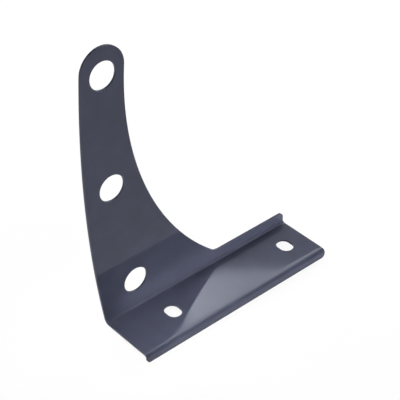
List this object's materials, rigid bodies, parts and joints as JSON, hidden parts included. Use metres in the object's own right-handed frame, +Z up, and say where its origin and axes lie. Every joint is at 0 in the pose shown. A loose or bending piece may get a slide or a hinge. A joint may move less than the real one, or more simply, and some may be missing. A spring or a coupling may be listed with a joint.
{
  "type": "snow guard bracket",
  "caption": "Folded sheet-metal roof bracket: a tall curved fin with round holes for snow guard tubes on a slotted screw-down base with a short front lip.",
  "frame": {"origin": "midway between the two screw slots, on the flat underside of the base", "axes": "+X along the base from the end below the tall fin to the far end, +Y across the base from the lip towards the fin, +Z up along the fin"},
  "size_m": [0.2375, 0.061, 0.2915],
  "materials": {
    "powder_coated_steel": "glossy graphite-blue powder coat over folded steel sheet"
  },
  "bodies": {
    "root": {"bracket": "powder_coated_steel"}
  },
  "joints": []
}
